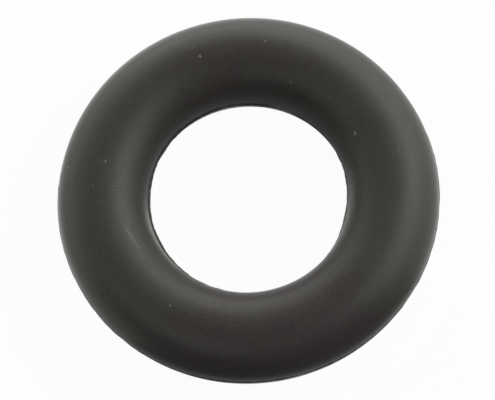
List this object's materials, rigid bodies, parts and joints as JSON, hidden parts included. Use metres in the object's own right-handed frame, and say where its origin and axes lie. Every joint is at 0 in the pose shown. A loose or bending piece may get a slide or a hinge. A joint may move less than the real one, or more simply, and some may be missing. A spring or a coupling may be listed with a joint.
{
  "type": "exhaust mount ring",
  "caption": "Thick moulded rubber ring with a round section and an open bore, which hangs an exhaust pipe from a hook and lets it sway.",
  "frame": {"origin": "centre of the bore, at the ring's middle height", "axes": "+Z along the ring's axis, up when it lies flat; +X and +Y lie in the plane of the moulding's flash line"},
  "size_m": [0.062, 0.0619, 0.0146],
  "materials": {
    "black_rubber": "satin black moulded rubber with a faint grey bloom"
  },
  "bodies": {
    "root": {"mounting_ring": "black_rubber"}
  },
  "joints": []
}
